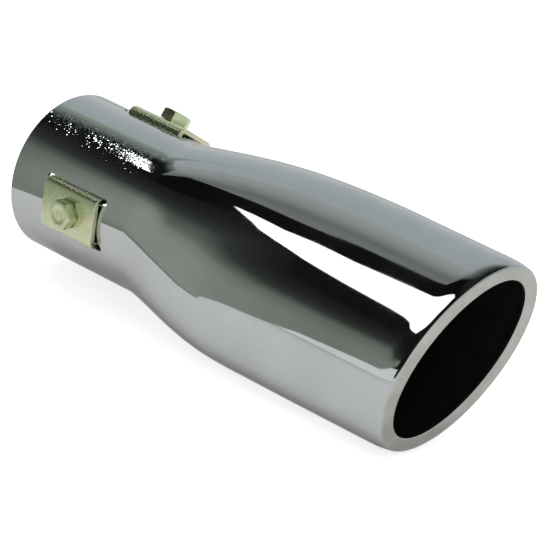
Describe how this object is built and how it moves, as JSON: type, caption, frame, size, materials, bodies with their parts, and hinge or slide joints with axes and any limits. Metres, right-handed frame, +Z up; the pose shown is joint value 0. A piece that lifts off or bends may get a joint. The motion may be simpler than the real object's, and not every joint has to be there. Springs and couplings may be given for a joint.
{
  "type": "exhaust tip",
  "caption": "Clamp-on exhaust tip: chromed tube with a round sleeve, a slanted oval outlet with a turned-in edge, and bolt-drawn saddles that grip a tail pipe.",
  "frame": {"origin": "on the tube's axis, in the plane of the inlet end", "axes": "+X along the tube's axis from the inlet to the outlet, +Z up with the tip lying as it comes to rest: on one bolt head and the short side of its oval"},
  "size_m": [0.212, 0.0678, 0.072],
  "materials": {
    "chrome": "bright chrome outside, dark inside",
    "yellow_zinc": "yellow passivated zinc plating, satin",
    "plain_steel": "plain steel"
  },
  "bodies": {
    "tube": {"tip_shell": "chrome", "weld_nut_1": "plain_steel", "weld_nut_2": "plain_steel", "weld_nut_3": "plain_steel"},
    "saddle_1": {"clamp_saddle_1": "yellow_zinc"},
    "bolt_1": {"clamp_bolt_1": "yellow_zinc"},
    "saddle_2": {"clamp_saddle_2": "yellow_zinc"},
    "bolt_2": {"clamp_bolt_2": "yellow_zinc"},
    "saddle_3": {"clamp_saddle_3": "yellow_zinc"},
    "bolt_3": {"clamp_bolt_3": "yellow_zinc"}
  },
  "joints": [
    {"name": "saddle_1_slide", "type": "slide", "parent": "tube", "child": "saddle_1", "axis": [0, 0.5592, 0.829], "range_m": [0, 0.007]},
    {"name": "bolt_1_turn", "type": "hinge", "parent": "saddle_1", "child": "bolt_1", "pos_m": [0.0336, 0, 0], "axis": [0, 0.5592, 0.829], "range_deg": [0, 2521]},
    {"name": "saddle_2_slide", "type": "slide", "parent": "tube", "child": "saddle_2", "axis": [0, -0.9976, 0.0698], "range_m": [0, 0.007]},
    {"name": "bolt_2_turn", "type": "hinge", "parent": "saddle_2", "child": "bolt_2", "pos_m": [0.0336, 0, 0], "axis": [0, -0.9976, 0.0698], "range_deg": [0, 2521]},
    {"name": "saddle_3_slide", "type": "slide", "parent": "tube", "child": "saddle_3", "axis": [0, 0.4384, -0.8988], "range_m": [0, 0.007]},
    {"name": "bolt_3_turn", "type": "hinge", "parent": "saddle_3", "child": "bolt_3", "pos_m": [0.0336, 0, 0], "axis": [0, 0.4384, -0.8988], "range_deg": [0, 2521]}
  ],
  "couplings": [
    {"joint": "bolt_1_turn", "follows": "saddle_1_slide", "rad_per_m": 6283.2},
    {"joint": "bolt_2_turn", "follows": "saddle_2_slide", "rad_per_m": 6283.2},
    {"joint": "bolt_3_turn", "follows": "saddle_3_slide", "rad_per_m": 6283.2}
  ]
}
